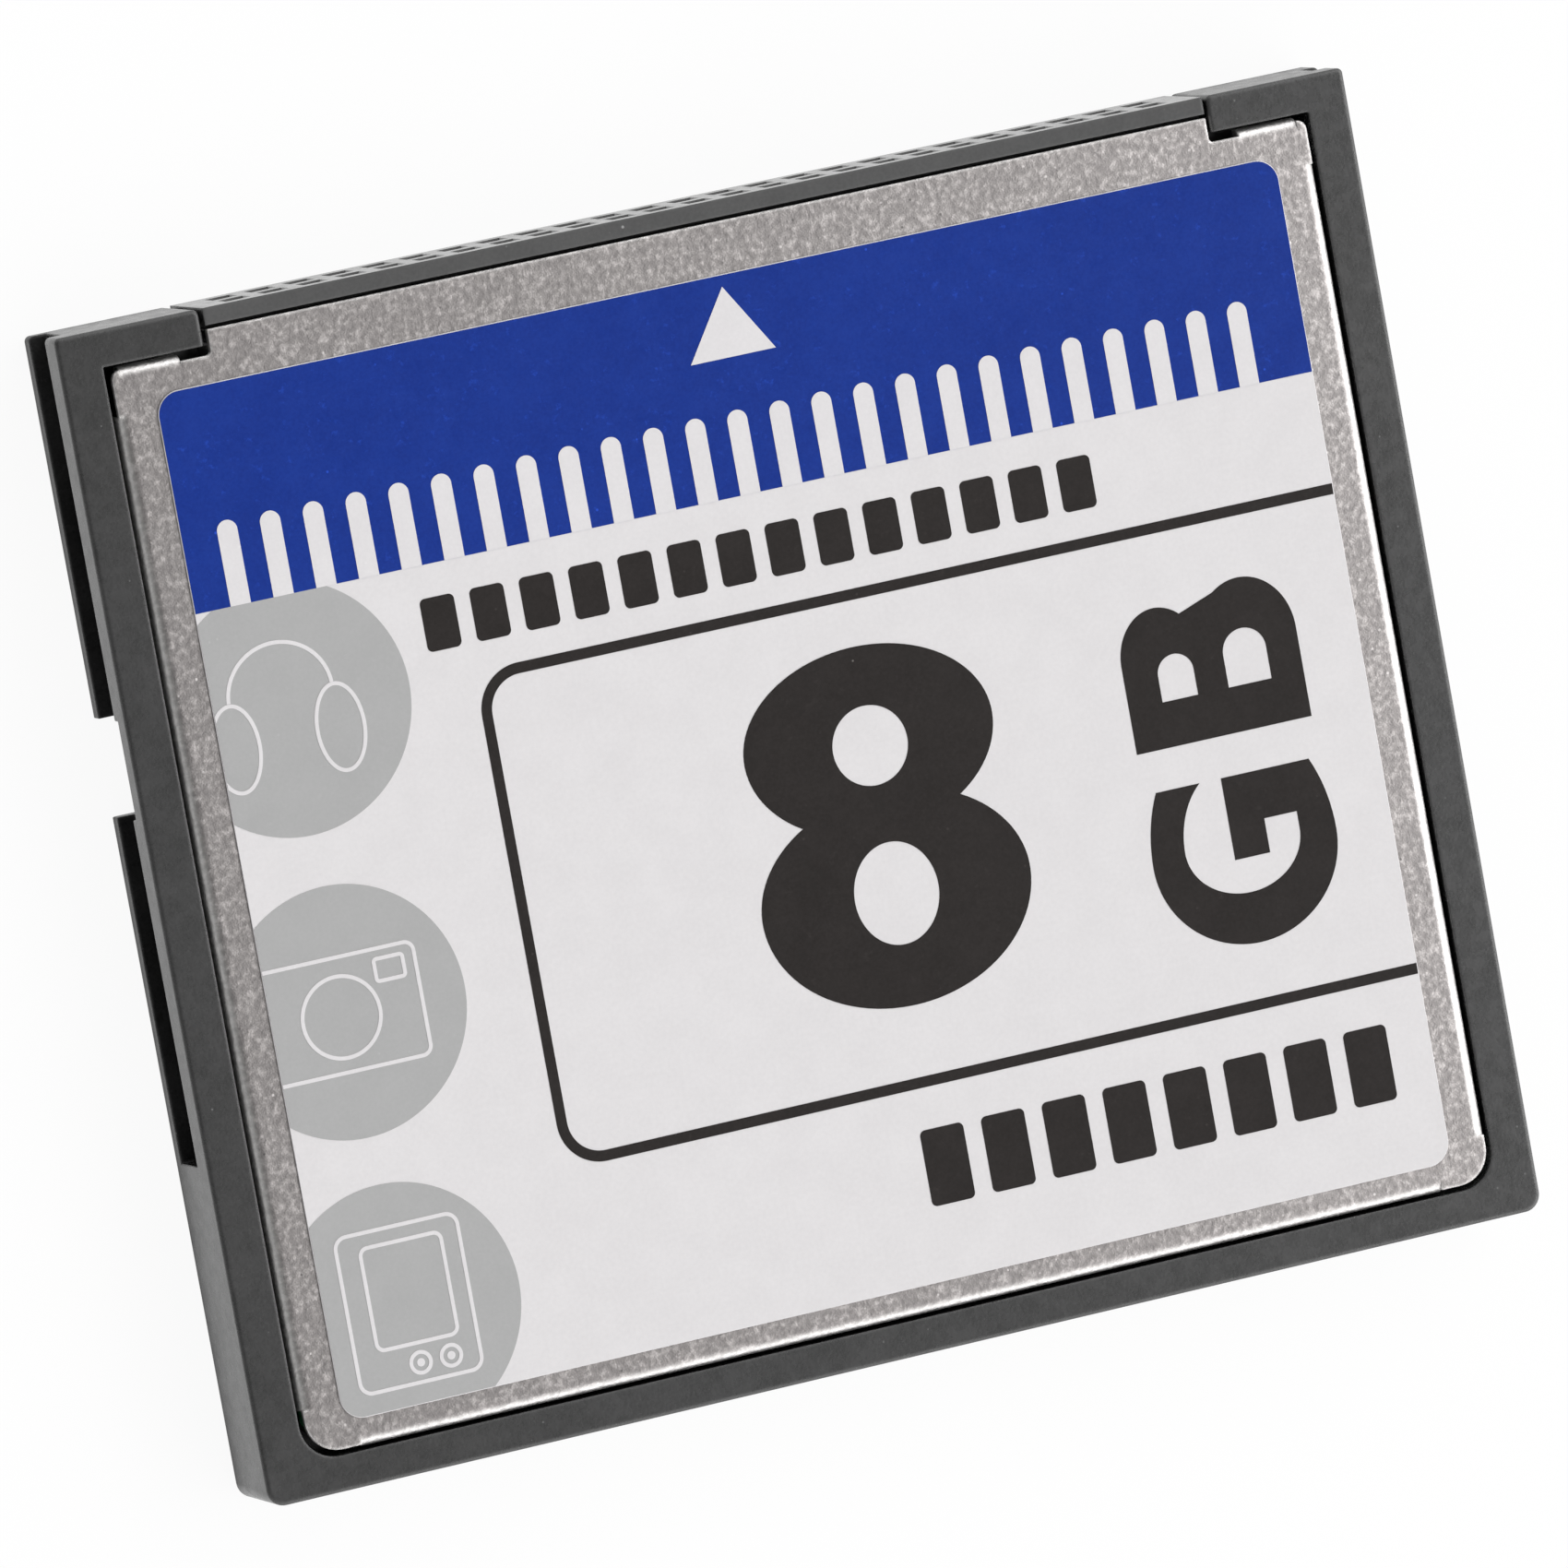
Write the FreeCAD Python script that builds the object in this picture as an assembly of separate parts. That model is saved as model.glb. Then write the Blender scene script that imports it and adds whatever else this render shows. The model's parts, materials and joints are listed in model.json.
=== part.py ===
"""Removable flash memory card: moulded frame, two folded covers, edge connector and board.

Millimetres. The origin is the centre of the underside, +Z rises through the label and +Y points
to the connector edge.
"""
import math
import os

import FreeCAD, Part

Vector = FreeCAD.Vector

# Card outline
card_width = 42.8
card_length = 36.4
card_thickness = 3.3
front_corner_radius = 0.18
rear_corner_radius = 0.55
edge_chamfer = 0.08

# Frame walls and the blocks beside the connector
side_rim = 1.37
rear_rim = 1.12
opening_radius = 1.15
block_width = 4.67
block_depth = 1.14
block_round = 0.2
ledge_width = 1.1
ledge_thickness = 0.5

# Guide slots and notches in the long sides
slot_length = 25.78
slot_depth = 0.57
slot_ceiling = 2.15
wide_slot_height = 1.55
narrow_slot_height = 0.99
notch_start = 11.87
notch_length = 3.08
notch_depth = 0.76
notch_ceiling = 2.44

# Folded sheet covers
sheet = 0.2
bend_inner_radius = 0.18
cover_rise = 0.05
cover_gap = 0.1
cover_corner_radius = 1.05
tongue_gap = 0.15
corner_inset = 0.09
ear_corner_radius = 0.3
ear_relief = 0.2
relief_radius = 0.15
ear_flange_inset = 0.38
ear_flange_length = 1.95
ear_flange_depth = 0.6
side_flange_inset = 1.5
rear_flange_inset = 1.78

# Connector housing
connector_gap = 0.13
connector_depth = 5.24
lip_depth = 0.54
lip_gap = 0.12
groove_depth = 0.3
retaining_ear_depth = 1.2
retaining_ear_gap = 0.1

# Contacts
contact_pitch = 1.27
row_pitch = 1.27
row_end_wall = 1.2
contact_width = 0.5
beam_thickness = 0.2
fork_length = 3.0
fork_root = 0.6
contact_setback = 0.7
tail_length = 1.6
cavity_clearance = 0.03
mouth_size = 0.8
mouth_depth = 0.2

# Circuit board
board_thickness = 0.6
board_gap = 0.1
board_corner_radius = 1.0
board_front_gap = 0.15

# Chip packages
chip_standoff = 0.05
chip_headroom = 0.06
package_draft = 0.06
lead_thickness = 0.13
lead_foot = 0.5
lead_shoulder = 0.3
lead_end_margin = 0.25
part_gap = 1.3
board_margin = 1.5

flash_width = 12.0
flash_length = 18.4
flash_lead_pitch = 0.5
flash_lead_width = 0.22

controller_size = 7.0
controller_lead_pitch = 0.5
controller_lead_width = 0.22
controller_lead_margin = 0.75

regulator_width = 2.9
regulator_length = 1.6
regulator_lead_pitch = 0.95
regulator_lead_width = 0.4

crystal_length = 3.2
crystal_width = 2.5
crystal_base_height = 0.45
crystal_lid_inset = 0.2

# Chip capacitors and resistors
passive_length = 1.0
passive_width = 0.5
passive_terminal = 0.25
passive_inset = 0.02
capacitor_height = 0.5
capacitor_pitch = 2.8
resistor_height = 0.35
resistor_pitch = 2.0

# Printed label
label_thickness = 0.06
label_radius = 0.75
label_side_margin = 1.3
label_rear_margin = 0.89
label_front_margin = 1.61

# Reach of a cutter past the face it opens, and the margin for finding edges
past = 1.0
tiny = 1e-6

# Planes that several pieces share
front = card_length / 2
rear = -card_length / 2
half_width = card_width / 2
cover_top = card_thickness - label_thickness
middle = cover_top / 2
frame_top = cover_top - cover_rise
frame_bottom = cover_rise
opening_half = half_width - side_rim
opening_rear = rear + rear_rim
opening_front = front - block_depth
gate_half = half_width - block_width
ledge_half = opening_half - ledge_width
ledge_rear = opening_rear + ledge_width

board_top = middle + board_thickness / 2
board_bottom = middle - board_thickness / 2
ledge_top = board_bottom
ledge_bottom = ledge_top - ledge_thickness

top_inner = cover_top - sheet
bottom_inner = sheet
bend_radius = bend_inner_radius + sheet
cover_half = opening_half - cover_gap
cover_rear = opening_rear + cover_gap
ear_front = opening_front - cover_gap
tongue_half = gate_half - tongue_gap

connector_rear = front - connector_depth
connector_half = gate_half - connector_gap
lip_rear = front - lip_depth
cover_front = lip_rear - lip_gap
contact_span = 2 * (connector_half - row_end_wall)
contacts_per_row = int(contact_span / contact_pitch) + 1
upper_row = middle + row_pitch / 2
fork_half = upper_row - board_top
tail_end = connector_rear - board_front_gap - tail_length

board_half = cover_half - sheet - board_gap
board_rear = cover_rear + sheet + board_gap
board_front = connector_rear - board_front_gap
chip_height = top_inner - board_top - chip_standoff - chip_headroom
lead_reach = lead_shoulder + lead_foot


def box(x0, x1, y0, y1, z0, z1):
    return Part.makeBox(x1 - x0, y1 - y0, z1 - z0, Vector(x0, y0, z0))


def upright_edges(shape, y):
    """Straight edges along Z that lie at one Y."""
    return [e for e in shape.Edges if e.BoundBox.XLength < tiny and e.BoundBox.YLength < tiny
            and abs(e.CenterOfMass.y - y) < tiny]


def rounded_plate(x0, x1, y0, y1, z0, z1, rear_radius, front_radius):
    """Flat plate whose two rear and two front corners are rounded, or square at a radius of 0."""
    plate = box(x0, x1, y0, y1, z0, z1)
    for y, radius in ((y0, rear_radius), (y1, front_radius)):
        if radius:
            plate = plate.makeFillet(radius, upright_edges(plate, y))
    return plate


def prism(points, depth):
    """Solid swept by a polygon along a vector."""
    return Part.Face(Part.makePolygon(points + points[:1])).extrude(depth)


def turned_over(shape):
    """The same shape on the other side of the card's middle plane."""
    return shape.rotated(Vector(0, 0, middle), Vector(0, 1, 0), 180)


def about_z(shape, degrees):
    return shape.rotated(Vector(0, 0, 0), Vector(0, 0, 1), degrees)


def spread(count, pitch):
    """Centred positions of evenly spaced copies."""
    return [(i - (count - 1) / 2) * pitch for i in range(count)]


def make_frame():
    """Moulded frame: rails with guide slots, rear bar, corner blocks and the ledge for the board."""
    slab = rounded_plate(-half_width, half_width, rear, front, frame_bottom, frame_top,
                         rear_corner_radius, front_corner_radius)
    gate = box(-gate_half, gate_half, opening_front, front + past, -past, frame_top + past)
    slab = slab.cut(gate)
    inner_ends = [e for e in upright_edges(slab, front) if abs(abs(e.CenterOfMass.x) - gate_half) < tiny]
    slab = slab.makeFillet(block_round, inner_ends)
    outline = [e for e in slab.Edges
               if e.BoundBox.ZLength < tiny and abs(e.CenterOfMass.y - opening_front) > tiny]
    slab = slab.makeChamfer(min(edge_chamfer, block_round), outline)

    above = rounded_plate(-opening_half, opening_half, opening_rear, opening_front,
                          ledge_top, frame_top + past, opening_radius, 0)
    below = rounded_plate(-opening_half, opening_half, opening_rear, opening_front,
                          -past, ledge_bottom, opening_radius, 0)
    through = box(-ledge_half, ledge_half, ledge_rear, opening_front, -past, frame_top + past)
    slot_end = front - slot_length
    slot_wall = half_width - slot_depth
    wide_slot = box(-half_width - past, -slot_wall, slot_end, front + past,
                    slot_ceiling - wide_slot_height, slot_ceiling)
    narrow_slot = box(slot_wall, half_width + past, slot_end, front + past,
                      slot_ceiling - narrow_slot_height, slot_ceiling)
    notch_front = front - notch_start
    notch_wall = half_width - notch_depth
    notches = [box(x0, x0 + notch_depth + past, notch_front - notch_length, notch_front, -past, notch_ceiling)
               for x0 in (-half_width - past, notch_wall)]
    return slab.cut([above, below, through, wide_slot, narrow_slot] + notches)


def flange(edge, depth):
    """Section of a folded edge in X and Z, from the flat sheet out to X = edge and down by depth."""
    flat_end = edge - bend_radius
    inside = edge - sheet
    diagonal = math.sqrt(0.5)
    outer = Part.Arc(Vector(flat_end, 0, 0),
                     Vector(flat_end + bend_radius * diagonal, 0, -bend_radius * (1 - diagonal)),
                     Vector(edge, 0, -bend_radius)).toShape()
    inner = Part.Arc(Vector(inside, 0, -bend_radius),
                     Vector(flat_end + bend_inner_radius * diagonal, 0,
                            -bend_radius + bend_inner_radius * diagonal),
                     Vector(flat_end, 0, -sheet)).toShape()
    leg = Part.makePolygon([Vector(edge, 0, -bend_radius), Vector(edge, 0, -depth),
                            Vector(inside, 0, -depth), Vector(inside, 0, -bend_radius)]).Edges
    close = Part.LineSegment(Vector(flat_end, 0, -sheet), Vector(flat_end, 0, 0)).toShape()
    return Part.Face(Part.Wire([outer] + leg + [inner, close]))


def make_cover(depth):
    """Folded cover with its outer face at Z = 0 and its flanges pointing down."""
    plate_half = cover_half - corner_inset
    plate = rounded_plate(-plate_half, plate_half, cover_rear + corner_inset, ear_front - corner_inset,
                          -sheet, 0, cover_corner_radius, ear_corner_radius)
    tongue = box(-tongue_half, tongue_half, ear_front - ear_relief, cover_front, -sheet, 0)
    side_front = ear_front - side_flange_inset
    side_rear = cover_rear + side_flange_inset
    rear_half = cover_half - rear_flange_inset
    ear_outer = cover_half - ear_flange_inset
    ear_inner = ear_outer - ear_flange_length
    bend_front = ear_front - bend_radius

    cuts = []
    folds = []
    for side in (-1, 1):
        strip = sorted((side * (cover_half - bend_radius), side * (cover_half + past)))
        cuts.append(box(*strip, side_rear, side_front, -sheet, 0))
        ear = sorted((side * ear_inner, side * ear_outer))
        cuts.append(box(*ear, bend_front, ear_front + past, -sheet, 0))
        relief_end = ear_front - ear_relief
        relief = box(*sorted((side * tongue_half, side * ear_inner)), relief_end, ear_front + past, -sheet, 0)
        root = [e for e in upright_edges(relief, relief_end)
                if abs(abs(e.CenterOfMass.x) - tongue_half) < tiny]
        cuts.append(relief.makeFillet(min(relief_radius, ear_relief), root))
        fold = flange(cover_half, depth).extrude(Vector(0, side_front - side_rear, 0))
        fold = fold.translated(Vector(0, side_rear, 0))
        folds.append(fold if side > 0 else fold.mirror(Vector(0, 0, 0), Vector(1, 0, 0)))
        ear_fold = flange(ear_front, ear_flange_depth).extrude(Vector(0, ear_flange_length, 0))
        folds.append(about_z(ear_fold, 90).translated(Vector(ear[1], 0, 0)))
    cuts.append(box(-rear_half, rear_half, cover_rear - past, cover_rear + bend_radius, -sheet, 0))
    back = flange(-cover_rear, depth).extrude(Vector(0, 2 * rear_half, 0))
    folds.append(about_z(back, -90).translated(Vector(-rear_half, 0, 0)))
    return plate.fuse([tongue]).cut(cuts).fuse(folds).removeSplitter()


def cavity_wire(width, height, y):
    w, h = width / 2, height / 2
    points = [Vector(-w, y, -h), Vector(w, y, -h), Vector(w, y, h), Vector(-w, y, h)]
    return Part.makePolygon(points + points[:1])


def contact_places(row):
    return [Vector(x, 0, row) for x in spread(contacts_per_row, contact_pitch)]


def make_connector():
    """Connector housing with a funnel and a straight cavity for each contact.

    A groove on either side of the card clears the front edge of the cover.
    """
    core = box(-connector_half, connector_half, connector_rear, lip_rear, bottom_inner, top_inner)
    lip = box(-connector_half, connector_half, lip_rear, front, frame_bottom, frame_top)
    ear_tip = ledge_half - retaining_ear_gap
    ear_y = opening_front - retaining_ear_gap
    ears = box(-ear_tip, ear_tip, ear_y - retaining_ear_depth, ear_y, ledge_bottom, board_top)
    grooves = [box(-connector_half, connector_half, cover_front, lip_rear, z0, z0 + groove_depth)
               for z0 in (bottom_inner, top_inner - groove_depth)]
    housing = core.fuse([lip, ears]).removeSplitter().cut(grooves)

    cavity_width = contact_width + 2 * cavity_clearance
    cavity_height = 2 * (fork_half + cavity_clearance)
    throat = front - mouth_depth
    funnel = Part.makeLoft([cavity_wire(mouth_size, mouth_size, front),
                            cavity_wire(cavity_width, cavity_height, throat)], True, True)
    bore = box(-cavity_width / 2, cavity_width / 2, connector_rear, throat,
               -cavity_height / 2, cavity_height / 2)
    cutters = []
    for row in (upper_row, 2 * middle - upper_row):
        for place in contact_places(row):
            cutters.append(funnel.translated(place))
            cutters.append(bore.translated(place))
    return housing.cut(cutters)


def make_upper_contacts():
    """Fork contacts whose lower beam runs on as the tail that lies on the board."""
    tip = front - contact_setback
    crotch = tip - fork_length
    heel = crotch - fork_root
    top = fork_half
    bottom = -fork_half
    outline = [(tip, top), (heel, top), (heel, bottom + beam_thickness), (tail_end, bottom + beam_thickness),
               (tail_end, bottom), (tip, bottom), (tip, bottom + beam_thickness),
               (crotch, bottom + beam_thickness), (crotch, top - beam_thickness), (tip, top - beam_thickness)]
    contact = prism([Vector(-contact_width / 2, y, z) for y, z in outline], Vector(contact_width, 0, 0))
    return Part.makeCompound([contact.translated(place) for place in contact_places(upper_row)])


def make_board():
    return rounded_plate(-board_half, board_half, board_rear, board_front, board_bottom, board_top,
                         board_corner_radius, 0)


def make_package(width, length):
    """Moulded chip body with drafted sides, standing clear of the board."""
    low = board_top + chip_standoff
    parting = low + chip_height / 2

    def ring(inset, z):
        x, y = width / 2 - inset, length / 2 - inset
        points = [Vector(-x, -y, z), Vector(x, -y, z), Vector(x, y, z), Vector(-x, y, z)]
        return Part.makePolygon(points + points[:1])

    halves = [Part.makeLoft([ring(package_draft, low), ring(0, parting)], True, True),
              Part.makeLoft([ring(0, parting), ring(package_draft, low + chip_height)], True, True)]
    return halves[0].fuse(halves[1]).removeSplitter()


def make_lead(edge, width):
    """Gull-wing lead from the package side at Y = edge down to its foot on the board."""
    leave = board_top + chip_standoff + chip_height / 2
    half = lead_thickness / 2
    knee = edge + lead_shoulder
    toe = knee + lead_foot
    outline = [(edge, leave + half), (knee + half, leave + half), (knee + half, board_top + lead_thickness),
               (toe, board_top + lead_thickness), (toe, board_top), (knee - half, board_top),
               (knee - half, leave - half), (edge, leave - half)]
    return prism([Vector(-width / 2, y, z) for y, z in outline], Vector(width, 0, 0))


def lead_row(edge, places, width, turn):
    lead = make_lead(edge, width)
    return [about_z(lead.translated(Vector(x, 0, 0)), turn) for x in places]


def fitting_places(side, margin, pitch):
    """Centred lead positions that fit along a package side."""
    return spread(int((side - 2 * margin) / pitch + tiny) + 1, pitch)


def make_flash():
    places = fitting_places(flash_width, lead_end_margin, flash_lead_pitch)
    leads = []
    for turn in (0, 180):
        leads += lead_row(flash_length / 2, places, flash_lead_width, turn)
    return make_package(flash_width, flash_length), Part.makeCompound(leads)


def make_controller():
    places = fitting_places(controller_size, controller_lead_margin, controller_lead_pitch)
    leads = []
    for turn in (0, 90, 180, 270):
        leads += lead_row(controller_size / 2, places, controller_lead_width, turn)
    return make_package(controller_size, controller_size), Part.makeCompound(leads)


def make_regulator():
    """Five-lead regulator: three leads on one side and two on the other."""
    edge = regulator_length / 2
    leads = lead_row(edge, spread(3, regulator_lead_pitch), regulator_lead_width, 180)
    leads += lead_row(edge, spread(2, 2 * regulator_lead_pitch), regulator_lead_width, 0)
    return make_package(regulator_width, regulator_length), Part.makeCompound(leads)


def make_crystal():
    """Ceramic crystal package with a metal lid."""
    base_top = board_top + crystal_base_height
    x, y = crystal_width / 2, crystal_length / 2
    base = box(-x, x, -y, y, board_top, base_top)
    x -= crystal_lid_inset
    y -= crystal_lid_inset
    lid = box(-x, x, -y, y, base_top, board_top + chip_standoff + chip_height)
    return base, lid


def make_passives(places, height):
    """Chip parts standing across the row: a body between two end terminals."""
    bodies = []
    terminals = []
    half_length = passive_length / 2
    half_body = half_length - passive_terminal
    half = passive_width / 2
    for x, y in places:
        bodies.append(box(x - half + passive_inset, x + half - passive_inset, y - half_body, y + half_body,
                          board_top + passive_inset, board_top + height - passive_inset))
        for y0 in (y - half_length, y + half_body):
            terminals.append(box(x - half, x + half, y0, y0 + passive_terminal,
                                 board_top, board_top + height))
    return Part.makeCompound(bodies), Part.makeCompound(terminals)


def make_label():
    x = cover_half - label_side_margin
    return rounded_plate(-x, x, cover_rear + label_rear_margin, cover_front - label_front_margin,
                         cover_top, card_thickness, label_radius, label_radius)


def place_pair(pair, x, y):
    return [shape.translated(Vector(x, y, 0)) for shape in pair]


def build():
    nodes = {"frame": make_frame()}
    nodes["top_cover"] = make_cover(cover_top - ledge_top).translated(Vector(0, 0, cover_top))
    nodes["bottom_cover"] = turned_over(make_cover(ledge_bottom).translated(Vector(0, 0, cover_top)))
    nodes["connector_housing"] = make_connector()
    nodes["upper_contacts"] = make_upper_contacts()
    nodes["lower_contacts"] = turned_over(nodes["upper_contacts"])
    nodes["circuit_board"] = make_board()
    nodes["front_label"] = make_label()

    flash_x = -board_half + board_margin + flash_width / 2
    flash_y = board_rear + board_margin + lead_reach + flash_length / 2
    upper = place_pair(make_flash(), flash_x, flash_y)
    nodes["upper_flash_body"], nodes["upper_flash_leads"] = upper
    nodes["lower_flash_body"], nodes["lower_flash_leads"] = [turned_over(shape) for shape in upper]

    column_x = flash_x + flash_width / 2 + part_gap
    capacitor_y = tail_end - part_gap - passive_length / 2
    controller_half = controller_size / 2 + lead_reach
    controller_x = column_x + controller_half
    controller_y = capacitor_y - passive_length / 2 - part_gap - controller_half
    controller = place_pair(make_controller(), controller_x, controller_y)
    nodes["controller_body"], nodes["controller_leads"] = controller

    crystal_x = controller_x + controller_half + part_gap + crystal_width / 2
    crystal = place_pair(make_crystal(), crystal_x, controller_y)
    nodes["crystal_base"], nodes["crystal_lid"] = crystal

    resistor_y = controller_y - controller_half - part_gap - passive_length / 2
    regulator_y = resistor_y - passive_length / 2 - part_gap - regulator_length / 2 - lead_reach
    regulator = place_pair(make_regulator(), controller_x, regulator_y)
    nodes["regulator_body"], nodes["regulator_leads"] = regulator

    row_half = board_half - board_margin - passive_width / 2
    capacitors = [(x, capacitor_y) for x in spread(int(2 * row_half / capacitor_pitch) + 1, capacitor_pitch)]
    nodes["capacitor_bodies"], nodes["capacitor_terminals"] = make_passives(capacitors, capacitor_height)
    resistor_run = board_half - board_margin - column_x - passive_width
    resistor_count = int(resistor_run / resistor_pitch) + 1
    resistor_x = column_x + passive_width / 2
    resistors = [(resistor_x + i * resistor_pitch, resistor_y) for i in range(resistor_count)]
    nodes["resistor_bodies"], nodes["resistor_terminals"] = make_passives(resistors, resistor_height)
    return nodes


os.makedirs("parts", exist_ok=True)
for name, shape in build().items():
    shape.exportStep("parts/" + name + ".step")
    print(name, len(shape.Solids), "solids", round(shape.Volume, 3), "mm3", shape.isValid())
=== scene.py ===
"""A memory card lying on a pale floor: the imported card, its finishes and its printed label."""
import json
import math

import bmesh
import bpy
from mathutils import Matrix, Vector
from mathutils.geometry import delaunay_2d_cdt

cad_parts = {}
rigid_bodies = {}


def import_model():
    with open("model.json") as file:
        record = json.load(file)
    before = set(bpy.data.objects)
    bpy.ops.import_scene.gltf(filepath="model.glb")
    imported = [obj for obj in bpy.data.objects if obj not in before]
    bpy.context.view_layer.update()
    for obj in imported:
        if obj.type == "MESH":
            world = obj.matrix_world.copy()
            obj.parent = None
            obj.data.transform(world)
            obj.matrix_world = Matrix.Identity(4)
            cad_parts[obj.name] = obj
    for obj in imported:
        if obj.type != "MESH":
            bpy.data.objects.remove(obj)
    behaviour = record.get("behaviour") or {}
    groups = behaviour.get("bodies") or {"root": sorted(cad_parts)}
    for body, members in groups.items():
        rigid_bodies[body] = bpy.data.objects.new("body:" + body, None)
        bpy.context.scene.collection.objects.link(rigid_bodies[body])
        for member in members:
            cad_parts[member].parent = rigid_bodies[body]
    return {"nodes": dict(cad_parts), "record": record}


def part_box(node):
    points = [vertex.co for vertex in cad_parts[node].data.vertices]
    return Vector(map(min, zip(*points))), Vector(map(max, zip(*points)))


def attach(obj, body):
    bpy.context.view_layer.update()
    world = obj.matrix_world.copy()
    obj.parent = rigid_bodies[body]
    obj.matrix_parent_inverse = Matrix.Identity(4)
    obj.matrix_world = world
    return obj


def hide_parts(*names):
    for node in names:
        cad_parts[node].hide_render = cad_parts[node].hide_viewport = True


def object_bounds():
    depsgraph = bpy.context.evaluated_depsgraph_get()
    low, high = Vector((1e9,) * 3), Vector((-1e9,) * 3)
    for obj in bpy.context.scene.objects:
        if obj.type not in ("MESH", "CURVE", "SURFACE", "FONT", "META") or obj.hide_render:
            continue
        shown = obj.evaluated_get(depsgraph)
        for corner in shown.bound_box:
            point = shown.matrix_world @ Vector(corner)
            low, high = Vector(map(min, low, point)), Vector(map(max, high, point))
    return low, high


for leftover in list(bpy.data.objects):
    bpy.data.objects.remove(leftover)

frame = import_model()
cad_low, cad_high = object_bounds()

# Lengths below are in millimetres, and times MM they are the metres that Blender works in
MM = 0.001
CARD_HEIGHT = (cad_high.z - cad_low.z) / MM

# The label on the top cover: paper with a soft rim, and two layers of ink on it
label_low, label_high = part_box("front_label")
LABEL_LEFT = label_low.x / MM
LABEL_RIGHT = label_high.x / MM
LABEL_REAR = label_low.y / MM
LABEL_FRONT = label_high.y / MM
LABEL_BOTTOM = label_low.z / MM
LABEL_TOP = label_high.z / MM
LABEL_CORNER = 0.75
INK_THICKNESS = 0.008
INK_LAYERS = 2
OVERPRINT = 1
PAPER_TOP = LABEL_TOP - INK_LAYERS * INK_THICKNESS
PAPER_RIM = 0.03
PRINT_LEFT = LABEL_LEFT + PAPER_RIM
PRINT_RIGHT = LABEL_RIGHT - PAPER_RIM
PRINT_REAR = LABEL_REAR + PAPER_RIM
PRINT_FRONT = LABEL_FRONT - PAPER_RIM

# Points of a full turn of a printed curve
TURN = 96

# Places of the colour sockets of a mix node
MIX_LOW = 6
MIX_HIGH = 7
MIX_RESULT = 2


class Graph:
    """The nodes of a material or of the surroundings."""

    def __init__(self, tree):
        self.tree = tree
        self.tree.nodes.clear()

    def node(self, kind, **settings):
        made = self.tree.nodes.new(kind)
        for key, value in settings.items():
            setattr(made, key, value)
        return made

    def join(self, out, into):
        self.tree.links.new(out, into)

    def feed(self, socket, value):
        """Joins a socket to the output of a node, or sets it to a fixed value."""
        if isinstance(value, bpy.types.NodeSocket):
            self.join(value, socket)
        else:
            socket.default_value = value

    def calc(self, operation, *values):
        """One step of arithmetic on outputs and numbers."""
        made = self.node("ShaderNodeMath", operation=operation)
        for socket, value in zip(made.inputs, values):
            self.feed(socket, value)
        return made.outputs["Value"]

    def along(self, direction, other):
        """How far two directions agree, as their dot product."""
        made = self.node("ShaderNodeVectorMath", operation="DOT_PRODUCT")
        self.feed(made.inputs[0], direction)
        self.feed(made.inputs[1], other)
        return made.outputs["Value"]

    def upward(self, vector):
        """The Z part of a place or a direction."""
        split = self.node("ShaderNodeSeparateXYZ")
        self.join(vector, split.inputs["Vector"])
        return split.outputs["Z"]

    def ramp(self, fac, *stops):
        """A colour or a grey level by the value of fac; each stop is a place and a level or a colour."""
        made = self.node("ShaderNodeValToRGB")
        marks = made.color_ramp.elements
        while len(marks) < len(stops):
            marks.new(0.5)
        for mark, (at, level) in zip(marks, stops):
            mark.position = at
            mark.color = (*level, 1) if isinstance(level, tuple) else (level, level, level, 1)
        self.join(fac, made.inputs["Fac"])
        return made.outputs["Color"]


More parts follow.
